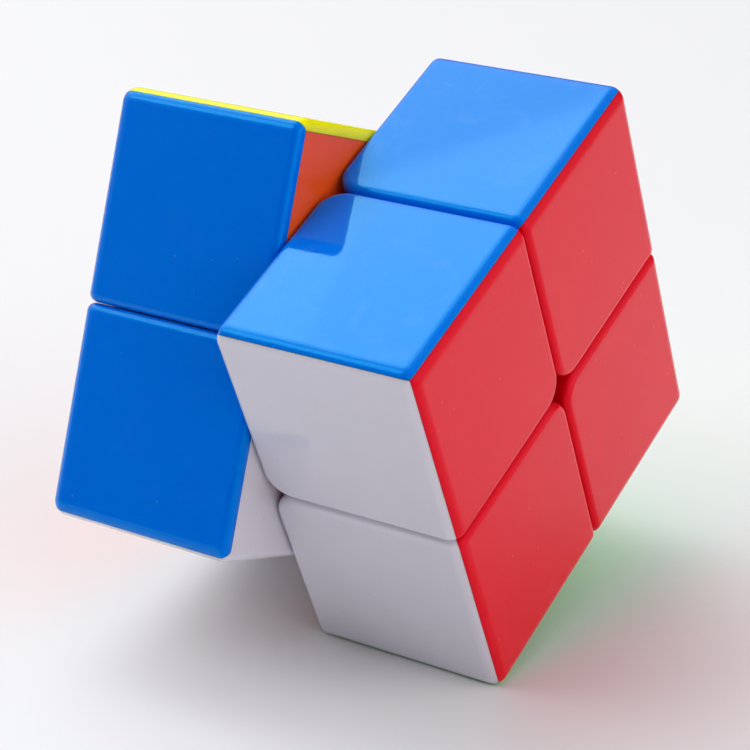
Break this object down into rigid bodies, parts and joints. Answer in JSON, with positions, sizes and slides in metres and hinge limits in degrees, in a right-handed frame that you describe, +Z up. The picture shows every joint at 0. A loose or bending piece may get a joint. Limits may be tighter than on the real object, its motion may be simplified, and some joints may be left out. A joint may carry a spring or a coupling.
{
  "type": "twisty puzzle cube",
  "caption": "Stickerless twisty puzzle cube with two layers per axis, one half part-turned on a sprung screw core inside rounded snap-together corner pieces.",
  "frame": {"origin": "on the floor, straight below the middle of the core, half way between the red and the orange face", "axes": "+X along the twist axis towards the red face, +Z up, +Y away from the side the blue and white facelets show on"},
  "size_m": [0.05, 0.0638, 0.0639],
  "materials": {
    "red_plastic": "satin",
    "blue_plastic": "satin",
    "white_plastic": "satin",
    "yellow_plastic": "satin",
    "orange_plastic": "satin",
    "green_plastic": "satin",
    "inner_plastic": "matte",
    "core_plastic": "matte",
    "spring_steel": "drawn wire",
    "screw_steel": "zinc plated"
  },
  "bodies": {
    "left_half": {"corner_orange_yellow_blue_block": "orange_plastic", "corner_orange_yellow_blue_plate_yellow": "yellow_plastic", "corner_orange_yellow_blue_plate_blue": "blue_plastic", "corner_orange_white_blue_block": "white_plastic", "corner_orange_white_blue_plate_orange": "orange_plastic", "corner_orange_white_blue_plate_blue": "blue_plastic", "corner_orange_yellow_green_block": "orange_plastic", "corner_orange_yellow_green_plate_yellow": "yellow_plastic", "corner_orange_yellow_green_plate_green": "green_plastic", "corner_orange_white_green_block": "white_plastic", "corner_orange_white_green_plate_orange": "orange_plastic", "corner_orange_white_green_plate_green": "green_plastic", "edge_yellow_blue": "inner_plastic", "edge_yellow_green": "inner_plastic", "edge_white_blue": "inner_plastic", "edge_white_green": "inner_plastic", "edge_orange_blue": "inner_plastic", "edge_orange_green": "inner_plastic", "edge_orange_yellow": "inner_plastic", "edge_orange_white": "inner_plastic", "spring_red": "spring_steel", "centre_orange": "inner_plastic", "spring_orange": "spring_steel", "centre_yellow": "inner_plastic", "spring_yellow": "spring_steel", "centre_white": "inner_plastic", "spring_white": "spring_steel", "centre_blue": "inner_plastic", "spring_blue": "spring_steel", "centre_green": "inner_plastic", "spring_green": "spring_steel", "screws": "screw_steel", "washers": "screw_steel", "core": "core_plastic"},
    "right_half": {"corner_red_white_blue_block": "red_plastic", "corner_red_white_blue_plate_white": "white_plastic", "corner_red_white_blue_plate_blue": "blue_plastic", "corner_red_yellow_blue_block": "red_plastic", "corner_red_yellow_blue_plate_yellow": "yellow_plastic", "corner_red_yellow_blue_plate_blue": "blue_plastic", "corner_red_white_green_block": "red_plastic", "corner_red_white_green_plate_white": "white_plastic", "corner_red_white_green_plate_green": "green_plastic", "corner_red_yellow_green_block": "red_plastic", "corner_red_yellow_green_plate_yellow": "yellow_plastic", "corner_red_yellow_green_plate_green": "green_plastic", "edge_red_blue": "inner_plastic", "edge_red_green": "inner_plastic", "edge_red_yellow": "inner_plastic", "edge_red_white": "inner_plastic", "centre_red": "inner_plastic"}
  },
  "joints": [
    {"name": "half_turn", "type": "hinge", "parent": "left_half", "child": "right_half", "pos_m": [0, 0, 0.03195], "axis": [1, 0, 0], "continuous": true}
  ]
}
